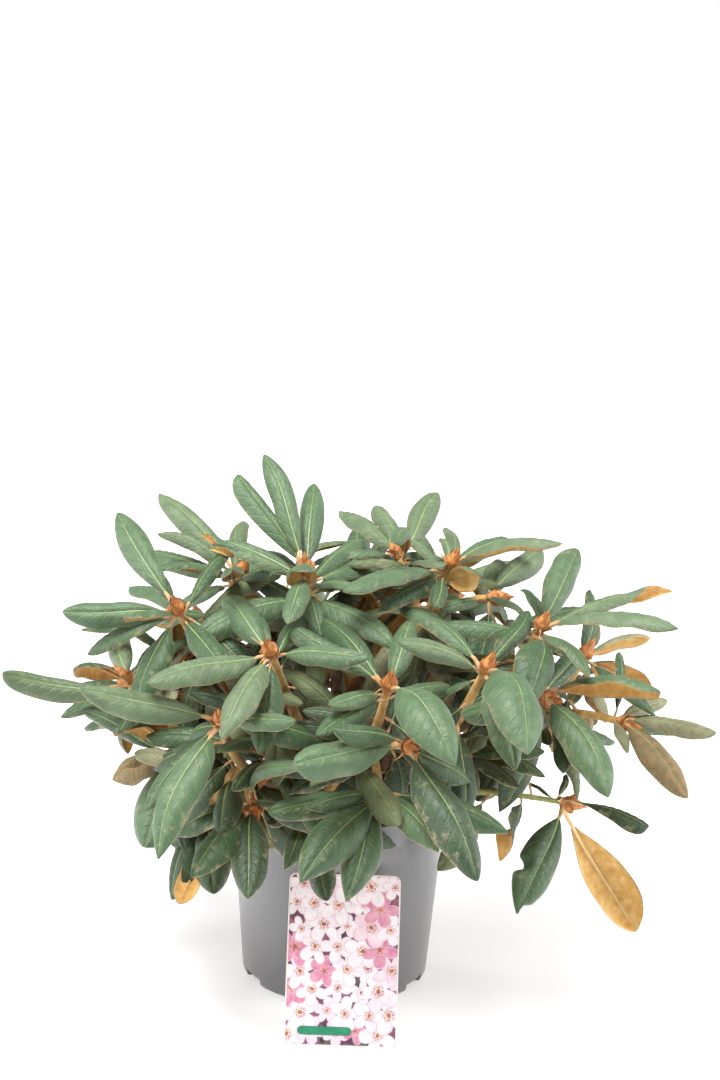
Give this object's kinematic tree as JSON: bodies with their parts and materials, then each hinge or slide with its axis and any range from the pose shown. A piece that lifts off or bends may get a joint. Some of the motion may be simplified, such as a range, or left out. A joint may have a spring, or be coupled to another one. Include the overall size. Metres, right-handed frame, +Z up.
{
  "type": "potted rhododendron",
  "caption": "Young broad-leaved evergreen rhododendron with pointed buds and felted leaf undersides, whole in its round nursery pot, with a picture tag leaning on the pot.",
  "frame": {"origin": "middle of the flat underside of the pot, on the surface the pot stands on", "axes": "+Z up, -Y towards the front where the picture tag leans, +X to the viewer's right"},
  "size_m": [0.6252, 0.5998, 0.4766],
  "materials": {
    "pot_plastic": "grey-taupe moulded nursery plastic, satin, faint scuffs",
    "compost": "dark crumbly peat compost, matte",
    "tag_card": null,
    "bark": "tan-brown felted young bark, matte",
    "foliage": "sage to dark green leathery leaves with pale midribs, satin",
    "underside": "ochre tan felt under the leaves, matte",
    "bud_scale": "orange-brown bud scales, satin"
  },
  "bodies": {
    "root": {"pot": "pot_plastic", "soil": "compost", "picture_tag": "tag_card", "trunk": "bark", "bough_centre": "bark", "bough_left": "bark", "bough_right": "bark", "bough_front": "bark", "bough_back": "bark", "bough_front_left": "bark", "bough_back_right": "bark", "bough_back_left": "bark", "bough_low_right": "bark", "bough_far_left": "bark", "bough_mid_left": "bark", "bough_right_top": "bark", "bough_right_front": "bark", "bough_far_right": "bark", "bough_back_top": "bark", "bough_far_back": "bark", "leaves_crown_top": "foliage", "leaves_left_top": "foliage", "leaves_far_left": "foliage", "leaves_front_left": "foliage", "leaves_mid_left": "foliage", "leaves_front": "foliage", "leaves_right_front": "foliage", "leaves_right_top": "foliage", "leaves_right": "foliage", "leaves_far_right": "foliage", "leaves_low_right": "foliage", "leaves_back_top": "foliage", "leaves_back": "foliage", "leaves_back_left": "foliage", "leaves_back_right": "foliage", "leaves_far_back": "foliage"}
  },
  "joints": []
}
